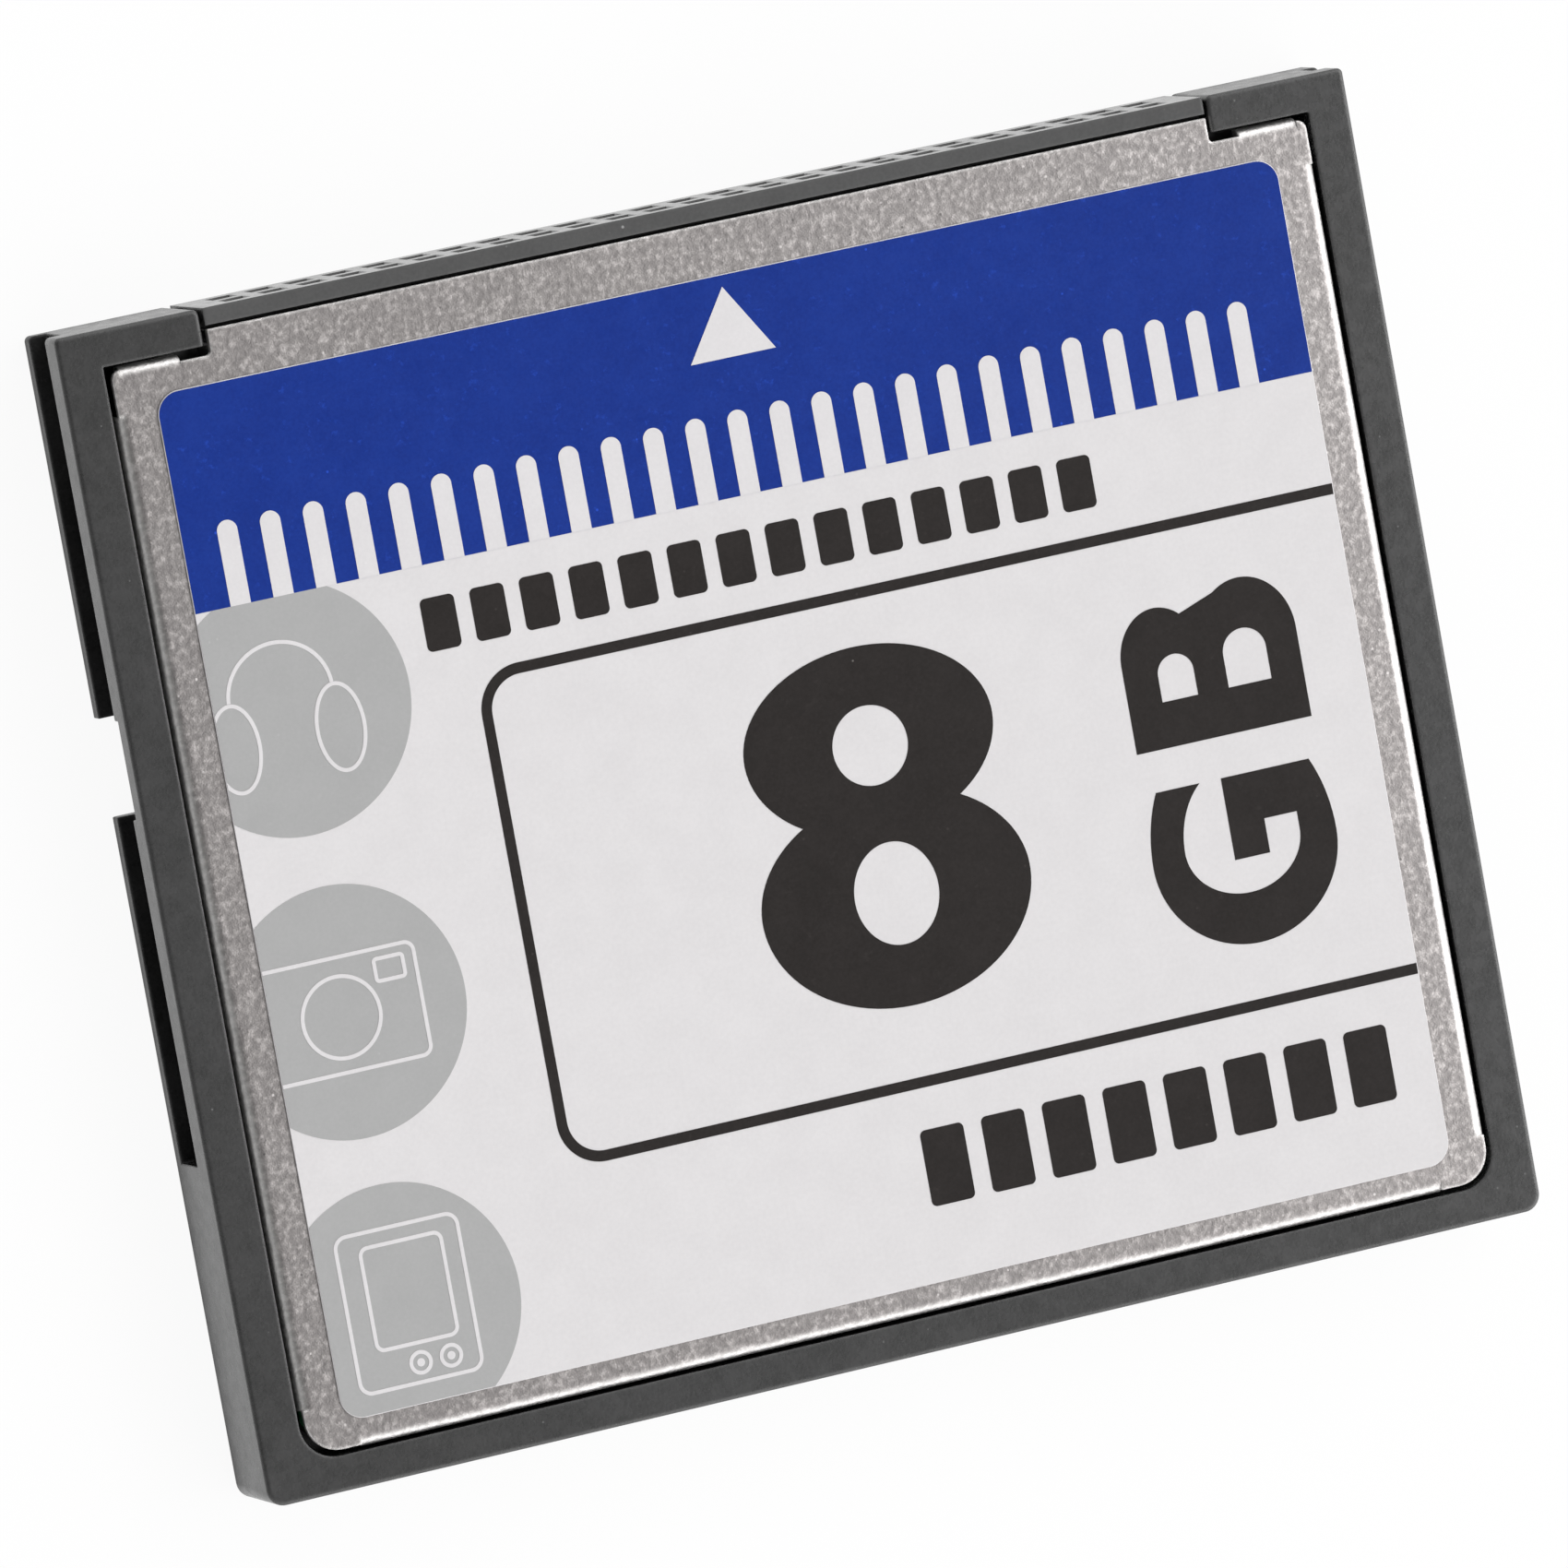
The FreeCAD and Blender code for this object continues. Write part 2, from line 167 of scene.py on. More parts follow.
class Finish(Graph):
    """A procedural material; its patterns are laid out in millimetres of the card's own frame."""

    def __init__(self, name):
        self.material = bpy.data.materials.new(name)
        self.material.use_nodes = True
        super().__init__(self.material.node_tree)
        self.bsdf = self.node("ShaderNodeBsdfPrincipled")
        self.out = self.node("ShaderNodeOutputMaterial")
        self.join(self.bsdf.outputs["BSDF"], self.out.inputs["Surface"])
        place = self.node("ShaderNodeTexCoord")
        scale = self.node("ShaderNodeMapping")
        scale.inputs["Scale"].default_value = (1 / MM, 1 / MM, 1 / MM)
        self.join(place.outputs["Object"], scale.inputs["Vector"])
        self.place = scale.outputs["Vector"]

    def set(self, **values):
        """Values that are the same all over the surface."""
        for key, value in values.items():
            self.bsdf.inputs[key.replace("_", " ")].default_value = value

    def drive(self, socket, out):
        """A value that a pattern gives."""
        self.join(out, self.bsdf.inputs[socket])

    def drive_roughness(self, pattern, low, high):
        """Roughness between two values, as a pattern goes from its low places to its high ones."""
        self.drive("Roughness", self.ramp(pattern, (0.3, low), (0.7, high)))

    def noise(self, per_mm, detail=3.0, rough=0.55):
        made = self.node("ShaderNodeTexNoise")
        made.inputs["Scale"].default_value = per_mm
        made.inputs["Detail"].default_value = detail
        made.inputs["Roughness"].default_value = rough
        self.join(self.place, made.inputs["Vector"])
        return made.outputs["Fac"]

    def mixture(self, first, share, second):
        """A share of one pattern and the rest of another."""
        return self.calc("ADD", self.calc("MULTIPLY", first, share), self.calc("MULTIPLY", second, 1 - share))

    def blend(self, fac, low, high):
        """Low where fac is 0, high where it is 1; both are colours or outputs."""
        made = self.node("ShaderNodeMix", data_type="RGBA")
        self.join(fac, made.inputs["Factor"])
        for place, value in ((MIX_LOW, low), (MIX_HIGH, high)):
            self.feed(made.inputs[place], (*value, 1) if isinstance(value, tuple) else value)
        return made.outputs[MIX_RESULT]

    def specks(self, per_mm, radius, share):
        """Small round spots, one in a share of the cells of a scattered pattern."""
        cells = self.node("ShaderNodeTexVoronoi")
        cells.inputs["Scale"].default_value = per_mm
        self.join(self.place, cells.inputs["Vector"])
        reach = radius * per_mm
        core = reach * 0.6
        near = self.ramp(cells.outputs["Distance"], (core, 1.0), (reach, 0.0))
        draw = self.node("ShaderNodeSeparateColor")
        self.join(cells.outputs["Color"], draw.inputs["Color"])
        kept = self.calc("LESS_THAN", draw.outputs["Red"], share)
        return self.calc("MULTIPLY", near, kept)

    def rounded(self, radius, samples):
        """Normals that turn round the sharp edges as if these had this radius."""
        made = self.node("ShaderNodeBevel", samples=samples)
        made.inputs["Radius"].default_value = radius * MM
        return made.outputs["Normal"]

    def lean(self, normal, steep, level):
        """1 where the normal stands as low as steep or lower, 0 where it stands as high as level."""
        own = self.node("ShaderNodeVectorTransform", vector_type="NORMAL",
                        convert_from="WORLD", convert_to="OBJECT")
        self.join(normal, own.inputs["Vector"])
        height = self.calc("ABSOLUTE", self.upward(own.outputs["Vector"]))
        return self.ramp(height, (steep, 1.0), (level, 0.0))

    def height(self, *stops):
        """A level by the height above the card's underside, in millimetres."""
        share = self.calc("DIVIDE", self.upward(self.place), CARD_HEIGHT)
        return self.ramp(share, *((at / CARD_HEIGHT, level) for at, level in stops))

    def edges(self, turned):
        """Near 1 along the part's sharp edges, where the rounded normals turn, and 0 on its flats."""
        true = self.node("ShaderNodeNewGeometry")
        return self.ramp(self.along(turned, true.outputs["Normal"]), (0.80, 1.0), (0.985, 0.0))

    def crevice(self, reach):
        """1 on open faces, falling to 0 deep in gaps narrower than the reach; it places painted shade in
        gaps.
        """
        made = self.node("ShaderNodeAmbientOcclusion", samples=4)
        made.inputs["Distance"].default_value = reach * MM
        return self.ramp(made.outputs["AO"], (0.22, 0.0), (0.58, 1.0))

    def bump(self, height, depth, strength=1.0, under=None):
        """Relief of some depth, on the given normals or on the surface's own."""
        made = self.node("ShaderNodeBump")
        made.inputs["Strength"].default_value = strength
        made.inputs["Distance"].default_value = depth * MM
        self.join(height, made.inputs["Height"])
        if under is not None:
            self.join(under, made.inputs["Normal"])
        self.drive("Normal", made.outputs["Normal"])


def grey(level):
    return (level, level, level)


def moulded(name, dark, light, worn, roughness, grain, ior, sheen_in_floor_shade):
    """Moulded plastic: fine grain, slow tone changes, pale scuffed edges, a little dust, painted shade in its
    gaps and less sheen towards the floor as painted shade.
    """
    made = Finish(name)
    fine = made.noise(per_mm=9.0, detail=4.0, rough=0.6)
    slow = made.noise(per_mm=0.75, detail=4.0, rough=0.6)
    body = made.ramp(made.mixture(fine, 0.5, slow), (0.36, dark), (0.64, light))
    patchy = made.ramp(made.noise(per_mm=1.7, detail=4.0, rough=0.7), (0.42, 0.0), (0.66, 1.0))
    turned = made.rounded(radius=0.12, samples=2)
    rubbed = made.calc("MULTIPLY", made.edges(turned), made.calc("MULTIPLY_ADD", patchy, 0.75, 0.5))
    body = made.blend(rubbed, body, worn)
    body = made.blend(made.specks(per_mm=2.1, radius=0.04, share=0.20), body, worn)
    body = made.blend(made.specks(per_mm=0.62, radius=0.055, share=0.30), body, grey(0.30))
    # Painted shade: ambient occlusion turns the base colour almost black deep in gaps and takes most of the
    # sheen out of them
    free_of_painted_gap_shade = made.crevice(reach=0.40)
    made.drive("Base Color", made.blend(free_of_painted_gap_shade, grey(0.003), body))
    sheen = made.ramp(free_of_painted_gap_shade, (0.0, 0.02), (1.0, 0.5))
    # Painted shade: the sheen falls towards the floor, standing in for the floor's shadow mirrored in the
    # lower walls
    painted_floor_shade = made.height((0.25, sheen_in_floor_shade), (1.9, 1.0))
    made.drive("Specular IOR Level", made.calc("MULTIPLY", sheen, painted_floor_shade))
    made.drive_roughness(made.noise(per_mm=2.6, detail=4.0), *roughness)
    made.set(IOR=ior)
    made.bump(fine, depth=grain, under=turned)
    return made.material


def blasted_steel(name):
    """Bead-blasted sheet steel: crowded small dents, with painted glints and painted shade of pits in its
    colour, and a painted highlight where it bends and at its edges.
    """
    made = Finish(name)
    dents = made.noise(per_mm=4.4, detail=2.6, rough=0.62)
    fine = made.noise(per_mm=17.0, detail=2.0)
    slow = made.noise(per_mm=0.9)
    mottle = made.mixture(dents, 0.86, slow)
    # Random tone of the flats; its brightest stop, where the dents stand high, is partly painted glints
    plain = made.ramp(mottle, (0.37, (0.230, 0.216, 0.213)), (0.52, (0.276, 0.260, 0.255)),
                      (0.66, (0.41, 0.386, 0.380)))
    # Painted glints: pale specks
    plain = made.blend(made.specks(per_mm=2.9, radius=0.055, share=0.18), plain, (0.50, 0.475, 0.468))
    # Painted shade in pits: dark specks
    plain = made.blend(made.specks(per_mm=2.3, radius=0.05, share=0.14), plain, (0.15, 0.143, 0.14))
    # Painted highlight: the near-white colour of the bends and sheared edges
    bright = made.ramp(mottle, (0.42, (0.80, 0.787, 0.775)), (0.58, (0.98, 0.965, 0.95)))
    turned = made.rounded(radius=0.14, samples=3)
    # Painted highlight: where the rounded normals lean, the base colour turns to that near white
    made.drive("Base Color", made.blend(made.lean(turned, steep=0.78, level=0.99), plain, bright))
    made.drive_roughness(fine, 0.40, 0.54)
    made.set(Metallic=1.0)
    made.bump(made.mixture(dents, 0.8, fine), depth=0.023, under=turned)
    return made.material


def paper(name):
    """White satin label stock with a faint mottle."""
    made = Finish(name)
    slow = made.noise(per_mm=0.8, detail=4.0, rough=0.6)
    mottle = made.mixture(slow, 0.5, made.noise(per_mm=7.0, detail=2.0))
    made.drive("Base Color", made.ramp(mottle, (0.36, (0.700, 0.682, 0.690)), (0.64, (0.740, 0.722, 0.730))))
    made.drive_roughness(made.noise(per_mm=3.0), 0.42, 0.56)
    made.set(Specular_IOR_Level=0.2)
    made.bump(made.noise(per_mm=5.0), depth=0.003)
    return made.material


def ink(name, thin, full, roughness, dust, gloss, fleck):
    """Printed ink film of uneven cover, with flecks paler than its thin places and a little dust."""
    made = Finish(name)
    slow = made.noise(per_mm=0.7, detail=4.0, rough=0.6)
    cover = made.mixture(slow, 0.5, made.noise(per_mm=9.0, detail=2.0))
    body = made.ramp(cover, (0.36, full), (0.64, thin))
    pale = tuple(fleck * part for part in thin)
    flecks = made.ramp(made.noise(per_mm=3.2, detail=4.0, rough=0.7), (0.60, 0.0), (0.74, 0.5))
    body = made.blend(flecks, body, pale)
    body = made.blend(made.specks(per_mm=1.3, radius=0.05, share=0.30), body, pale)
    body = made.blend(made.specks(per_mm=0.55, radius=0.045, share=0.22), body, dust)
    made.drive("Base Color", body)
    made.drive_roughness(made.noise(per_mm=3.5), *roughness)
    made.set(Specular_IOR_Level=gloss)
    made.bump(made.noise(per_mm=6.0), depth=0.003)
    return made.material


def plated(name, dull, bright, roughness):
    """Plated contact or lead metal, a little uneven."""
    made = Finish(name)
    tarnish = made.noise(per_mm=2.0, detail=4.0, rough=0.6)
    made.drive("Base Color", made.ramp(tarnish, (0.35, dull), (0.62, bright)))
    made.drive_roughness(made.noise(per_mm=5.0), *roughness)
    made.set(Metallic=1.0)
    made.bump(made.noise(per_mm=12.0, detail=2.0), depth=0.002)
    return made.material


def laminate(name):
    """Solder mask over fine copper runs on glass laminate."""
    made = Finish(name)
    runs = made.node("ShaderNodeTexWave", wave_type="BANDS", bands_direction="X")
    runs.inputs["Scale"].default_value = 0.62
    runs.inputs["Distortion"].default_value = 2.4
    runs.inputs["Detail Scale"].default_value = 0.3
    made.join(made.place, runs.inputs["Vector"])
    lines = made.ramp(runs.outputs["Fac"], (0.62, 0.0), (0.70, 1.0))
    weave = made.noise(per_mm=3.0)
    mask = made.ramp(weave, (0.35, (0.010, 0.085, 0.035)), (0.65, (0.016, 0.125, 0.052)))
    made.drive("Base Color", made.blend(lines, mask, (0.035, 0.21, 0.085)))
    made.drive_roughness(weave, 0.28, 0.42)
    made.bump(lines, depth=0.02, strength=0.6)
    return made.material


def matt(name, dark, light, roughness):
    """Moulded epoxy and fired ceramic of the small parts on the board."""
    made = Finish(name)
    fine = made.noise(per_mm=7.0, detail=4.0, rough=0.65)
    made.drive("Base Color", made.ramp(fine, (0.34, dark), (0.66, light)))
    made.drive_roughness(made.noise(per_mm=4.0), *roughness)
    made.bump(fine, depth=0.008)
    return made.material


# The last number of each moulded finish is the share of its sheen left at the floor, which is painted shade
FINISHES = {
    "frame_plastic": moulded("frame_plastic", dark=grey(0.015), light=grey(0.032), worn=grey(0.12),
                             roughness=(0.22, 0.32), grain=0.005, ior=1.65, sheen_in_floor_shade=0.12),
    "connector_plastic": moulded("connector_plastic", dark=grey(0.062), light=grey(0.080), worn=grey(0.13),
                                 roughness=(0.16, 0.24), grain=0.0008, ior=1.6, sheen_in_floor_shade=0.8),
    "cover_steel": blasted_steel("cover_steel"),
    "label_paper": paper("label_paper"),
    "contact_metal": plated("contact_metal", (0.74, 0.50, 0.17), (0.93, 0.70, 0.30), (0.16, 0.28)),
    "lead_metal": plated("lead_metal", grey(0.52), grey(0.70), (0.24, 0.40)),
    "board_laminate": laminate("board_laminate"),
    "chip_epoxy": matt("chip_epoxy", grey(0.012), grey(0.022), (0.50, 0.66)),
    "part_ceramic": matt("part_ceramic", grey(0.030), (0.062, 0.058, 0.055), (0.40, 0.60)),
    "capacitor_ceramic": matt("capacitor_ceramic", (0.34, 0.22, 0.11), (0.47, 0.33, 0.19), (0.38, 0.56)),
}
BLUE_INK = ink("blue_ink", thin=(0.011, 0.040, 0.280), full=(0.008, 0.031, 0.236),
               roughness=(0.34, 0.48), dust=(0.5, 0.5, 0.52), gloss=0.08, fleck=1.9)
BLACK_INK = ink("black_ink", thin=(0.030, 0.026, 0.025), full=(0.023, 0.020, 0.019),
                roughness=(0.36, 0.50), dust=(0.18, 0.17, 0.16), gloss=0.08, fleck=1.4)
GREY_INK = ink("grey_ink", thin=grey(0.422), full=grey(0.398),
               roughness=(0.40, 0.52), dust=grey(0.47), gloss=0.2, fleck=1.05)
WHITE_INK = ink("white_ink", thin=(0.745, 0.727, 0.737), full=(0.705, 0.687, 0.697),
                roughness=(0.40, 0.52), dust=grey(0.66), gloss=0.2, fleck=1.03)


def soften(piece, radius, sharper_than):
    """Rounds the edges of a piece that turn by more than an angle in degrees."""
    soft = piece.modifiers.new("soft_edges", "BEVEL")
    soft.width = radius * MM
    soft.segments = 3
    soft.limit_method = "ANGLE"
    soft.angle_limit = math.radians(sharper_than)
    return soft


def placed(name, data):
    """A new object in the scene."""
    made = bpy.data.objects.new(name, data)
    bpy.context.scene.collection.objects.link(made)
    return made


# Radius of the soft edges of the moulded nodes, and the angles in degrees that make an edge or a flat
SOFT_EDGES = {"frame": 0.045, "connector_housing": 0.02}
MOULDED_EDGE_ANGLE = 28
FLAT_ANGLE = 1
WELD_REACH = 0.0005
LARGE_FACES_LEAD = 100

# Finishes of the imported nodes
slots = {part["node"]: part["material_slot"] for part in frame["record"]["subparts"]}
for name, piece in frame["nodes"].items():
    piece.data.materials.clear()
    piece.data.materials.append(FINISHES[slots[name]])
    weld = piece.modifiers.new("weld", "WELD")
    weld.merge_threshold = WELD_REACH * MM
    if name in SOFT_EDGES:
        flats = piece.modifiers.new("flats", "DECIMATE")
        flats.decimate_type = "DISSOLVE"
        flats.angle_limit = math.radians(FLAT_ANGLE)
        soften(piece, SOFT_EDGES[name], MOULDED_EDGE_ANGLE)
        level_faces = piece.modifiers.new("level_faces", "WEIGHTED_NORMAL")
        level_faces.weight = LARGE_FACES_LEAD


def oval(x, y, rx, ry, start=0.0, end=360.0):
    """Points on an oval from one angle to another, in degrees; a full turn doesn't repeat its first point."""
    full = abs(end - start) >= 360
    count = max(3, round(TURN * abs(end - start) / 360))
    steps = range(count) if full else range(count + 1)
    angles = [math.radians(start + (end - start) * i / count) for i in steps]
    return [(x + rx * math.cos(a), y + ry * math.sin(a)) for a in angles]


def egg(x, y, rx, over, under, start, end):
    """An oval arc with different heights above and below its middle."""
    arc = oval(x, y, rx, 1.0, start, end)
    return [(px, y + (py - y) * (over if py >= y else under)) for px, py in arc]


def arch(left, right, foot, spring, rise):
    """A straight-sided shape from its foot to the spring line, with half an oval on top."""
    return [(left, foot), (right, foot)] + oval((left + right) / 2, spring, (right - left) / 2, rise, 0, 180)


def round_box(left, low, right, high, radius):
    corners = ((right - radius, high - radius, 0), (left + radius, high - radius, 90),
               (left + radius, low + radius, 180), (right - radius, low + radius, 270))
    return [point for x, y, turn in corners for point in oval(x, y, radius, radius, turn, turn + 90)]


def shifted(points, by, closed=True):
    """The line moved to its left by a distance."""
    moved = []
    count = len(points)
    for i, (x, y) in enumerate(points):
        before = points[i - 1] if closed or i else points[i]
        after = points[(i + 1) % count] if closed or i < count - 1 else points[i]
        dx = after[0] - before[0]
        dy = after[1] - before[1]
        run = math.hypot(dx, dy)
        moved.append((x - by * dy / run, y + by * dx / run))
    return moved


def ring(outline, width):
    """The outer and inner edge of a closed line of some width, for a line that turns anticlockwise."""
    return [shifted(outline, -width / 2), shifted(outline, width / 2)]


def band(points, width):
    """The outline of an open line of some width."""
    return shifted(points, -width / 2, False) + shifted(points, width / 2, False)[::-1]


def clipped(points, convex):
    """The part of a shape inside a convex outline that turns anticlockwise."""
    kept = points
    for (ax, ay), (bx, by) in zip(convex, convex[1:] + convex[:1]):
        sides = [(bx - ax) * (y - ay) - (by - ay) * (x - ax) for x, y in kept]
        cut = []
        for i, (x, y) in enumerate(kept):
            following = (i + 1) % len(kept)
            if sides[i] >= 0:
                cut.append((x, y))
            if sides[i] * sides[following] < 0:
                share = sides[i] / (sides[i] - sides[following])
                next_x, next_y = kept[following]
                cut.append((x + share * (next_x - x), y + share * (next_y - y)))
        kept = cut
    return kept


def inside(x, y, outlines):
    """Whether a point lies within an odd number of outlines."""
    found = False
    for outline in outlines:
        for (ax, ay), (bx, by) in zip(outline, outline[1:] + outline[:1]):
            if (ay > y) != (by > y) and x < ax + (bx - ax) * (y - ay) / (by - ay):
                found = not found
    return found


def carried(name, mesh, material):
    """A new piece that goes with the card."""
    mesh.materials.append(material)
    piece = placed(name, mesh)
    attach(piece, "root")
    return piece


# How the outlines of a film are cut into triangles: only inside them, with points this close made one
WITHIN_OUTLINES = 1
SAME_POINT = 1e-7


def printed(name, outlines, material, layer=0):
    """A thin closed film of ink on the label; outlines inside an outline are holes in it."""
    points = []
    edges = []
    for outline in outlines:
        first = len(points)
        count = len(outline)
        points += [Vector(point) for point in outline]
        edges += [(first + i, first + (i + 1) % count) for i in range(count)]
    flat, _, faces, *_ = delaunay_2d_cdt(points, edges, [], WITHIN_OUTLINES, SAME_POINT)
    low = PAPER_TOP + layer * INK_THICKNESS
    high = low + INK_THICKNESS
    film = bmesh.new()
    under = [film.verts.new((p.x * MM, p.y * MM, low * MM)) for p in flat]
    over = [film.verts.new((p.x * MM, p.y * MM, high * MM)) for p in flat]
    for face in faces:
        middle = sum((flat[i] for i in face), Vector((0, 0))) / len(face)
        if inside(middle.x, middle.y, outlines):
            film.faces.new([over[i] for i in face])
            film.faces.new([under[i] for i in reversed(face)])
    places = {vert: i for i, vert in enumerate(over)}
    rims = [edge for edge in film.edges if len(edge.link_faces) == 1 and edge.verts[0] in places]
    for rim in rims:
        a, b = (places[vert] for vert in rim.verts)
        film.faces.new((over[a], over[b], under[b], under[a]))
    for loose in [vert for vert in film.verts if not vert.link_faces]:
        film.verts.remove(loose)
    bmesh.ops.recalc_face_normals(film, faces=film.faces)
    mesh = bpy.data.meshes.new(name)
    film.to_mesh(mesh)
    film.free()
    carried(name, mesh, material)


def overprinted(name, outlines):
    """White lines or shapes on a field that is printed already."""
    printed(name, outlines, WHITE_INK, OVERPRINT)


# Edges of the paper that turn by more than this many degrees are soft
PAPER_EDGE_ANGLE = 60


def make_label_stock():
    """The label's paper, with soft edges, thinner than the whole label by the ink on it."""
    outline = round_box(LABEL_LEFT, LABEL_REAR, LABEL_RIGHT, LABEL_FRONT, LABEL_CORNER)
    count = len(outline)
    mesh = bpy.data.meshes.new("label_stock")
    points = [(x * MM, y * MM, z * MM) for z in (LABEL_BOTTOM, PAPER_TOP) for x, y in outline]
    sides = [(i, (i + 1) % count, count + (i + 1) % count, count + i) for i in range(count)]
    mesh.from_pydata(points, [], sides + [range(count)[::-1], range(count, 2 * count)])
    for side in mesh.polygons[:count]:
        side.use_smooth = True
    piece = carried("label_stock", mesh, FINISHES["label_paper"])
    soft = soften(piece, PAPER_RIM, PAPER_EDGE_ANGLE)
    soft.harden_normals = True
    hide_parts("front_label")


make_label_stock()

# Fields of the label: the printed sheet, and the halves of the plane on both sides of the blue edge
BLUE_EDGE = 9.125
FAR = 30.0
sheet = round_box(PRINT_LEFT, PRINT_REAR, PRINT_RIGHT, PRINT_FRONT, LABEL_CORNER - PAPER_RIM)
white_half = [(-FAR, -FAR), (FAR, -FAR), (FAR, BLUE_EDGE), (-FAR, BLUE_EDGE)]
blue_half = [(-FAR, BLUE_EDGE), (FAR, BLUE_EDGE), (FAR, FAR), (-FAR, FAR)]
printed("blue_field", [clipped(sheet, blue_half)], BLUE_INK)

# The arrow that shows which way the card goes in
ARROW_FOOT = 13.375
ARROW_LEFT = -1.5
ARROW_RIGHT = 1.33
ARROW_TIP = (-0.05, 15.55)
overprinted("insertion_arrow", [[(ARROW_LEFT, ARROW_FOOT), (ARROW_RIGHT, ARROW_FOOT), ARROW_TIP]])

# A comb of contact fingers stands on the edge of the blue field
FINGERS = 25
FINGER_PITCH = 1.40
FINGER_WIDTH = 0.66
FINGER_TOP = 11.75
FINGER_MIDDLE = -0.33
half = FINGER_WIDTH / 2
for i in range(FINGERS):
    x = FINGER_MIDDLE + (i - (FINGERS - 1) / 2) * FINGER_PITCH
    finger = arch(x - half, x + half, BLUE_EDGE, FINGER_TOP - half, half)
    overprinted(f"contact_finger_{i + 1:02d}", [finger])

# The ruled box, open at the right edge of the label
RULE_WIDTH = 0.34
RULE_LEFT = -10.0
RULE_TOP = 5.41
RULE_LOW = -9.875
RULE_CORNER = 1.25
rule = ([(PRINT_RIGHT, RULE_TOP)]
        + oval(RULE_LEFT + RULE_CORNER, RULE_TOP - RULE_CORNER, RULE_CORNER, RULE_CORNER, 90, 180)
        + oval(RULE_LEFT + RULE_CORNER, RULE_LOW + RULE_CORNER, RULE_CORNER, RULE_CORNER, 180, 270)
        + [(PRINT_RIGHT, RULE_LOW)])
printed("ruled_box", [band(rule, RULE_WIDTH)], BLACK_INK)

# The numeral: two bowls that meet at the waist, each with a hole
UPPER_BOWL = {"x": 2.045, "y": 0.94, "rx": 4.145, "over": 2.87, "under": 3.0, "start": -50, "end": 230}
LOWER_BOWL = {"x": 2.05, "y": -4.0, "rx": 4.48, "over": 3.257, "under": 3.475, "start": 126, "end": 414}
UPPER_HOLE = {"x": 2.06, "y": 0.71, "rx": 1.245, "ry": 1.25}
LOWER_HOLE = {"x": 2.06, "y": -3.95, "rx": 1.40, "ry": 1.61}
bowls = egg(**UPPER_BOWL) + egg(**LOWER_BOWL)
printed("numeral", [bowls, oval(**UPPER_HOLE), oval(**LOWER_HOLE)], BLACK_INK)

# The letter B of the unit, which reads upwards along the right side: its foot is on the right, its stem below
B_FOOT = 16.59
B_HEAD = 10.65
B_STEM = -1.4
B_WIDE_BOWL = {"x": 14.93, "y": 1.45, "rx": 1.66, "ry": 1.89, "start": 0, "end": 122}
B_SMALL_BOWL = {"x": 12.0, "y": 1.35, "rx": 1.35, "ry": 1.62, "start": 52, "end": 180}
B_SMALL_HOLE = {"left": 11.79, "right": 13.0, "foot": 0.025, "spring": 0.84, "rise": 0.6}
B_WIDE_HOLE = {"left": 14.04, "right": 15.5, "foot": 0.025, "spring": 1.05, "rise": 0.72}
letter_b = [(B_FOOT, B_STEM)] + oval(**B_WIDE_BOWL) + oval(**B_SMALL_BOWL) + [(B_HEAD, B_STEM)]
printed("unit_letter_b", [letter_b, arch(**B_SMALL_HOLE), arch(**B_WIDE_HOLE)], BLACK_INK)

# The letter G below it: an outer and an inner oval, each flatter on its back, and the bar
G_OUTER = {"x": 13.64, "y": -5.0, "rx": 3.11}
G_OUTER_FRONT = 4.2
G_OUTER_BACK = 2.975
G_INNER = {"x": 13.6, "y": -4.75, "rx": 1.95}
G_INNER_FRONT = 2.47
G_INNER_BACK = 1.625
G_FOOT_ANGLE = 33.4
G_HEAD_ANGLE = 180 - G_FOOT_ANGLE
G_INNER_ANGLE = 123.5
G_BAR_FOOT = G_INNER["x"] + G_INNER["rx"]
G_BAR = [(G_BAR_FOOT, -4.21), (14.44, -4.21), (14.44, -5.29), (13.25, -5.29), (13.25, -2.69)]
letter_g = (oval(**G_OUTER, ry=G_OUTER_FRONT, start=G_FOOT_ANGLE, end=0)[:-1]
            + oval(**G_OUTER, ry=G_OUTER_BACK, start=0, end=-180)[:-1]
            + oval(**G_OUTER, ry=G_OUTER_FRONT, start=180, end=G_HEAD_ANGLE)
            + oval(**G_INNER, ry=G_INNER_FRONT, start=G_INNER_ANGLE, end=180)[:-1]
            + oval(**G_INNER, ry=G_INNER_BACK, start=180, end=360) + G_BAR)
printed("unit_letter_g", [letter_g], BLACK_INK)

# Rows of plain memory cells
CELL_CORNER = 0.18
CELL_ROWS = {
    "upper": {"first": -11.5, "count": 14, "pitch": 1.63, "width": 1.12, "low": 6.45, "high": 8.10},
    "lower": {"first": 1.4, "count": 8, "pitch": 2.05, "width": 1.45, "low": -13.75, "high": -11.35},
}
for name, row in CELL_ROWS.items():
    for i in range(row["count"]):
        left = row["first"] + i * row["pitch"]
        cell = round_box(left, row["low"], left + row["width"], row["high"], CELL_CORNER)
        printed(f"{name}_cell_{i + 1:02d}", [cell], BLACK_INK)

# Grey discs cut by the label's edges and by the blue field
DISC_RADIUS = 3.92
DISC_X = -16.2
DISC_PLACES = {"sound": 5.675, "picture": -3.775, "player": -13.1}
for name, y in DISC_PLACES.items():
    disc = oval(DISC_X, y, DISC_RADIUS, DISC_RADIUS)
    printed(f"{name}_disc", [clipped(clipped(disc, sheet), white_half)], GREY_INK)

# Width of the lines of the pictograms
LINE = 0.122

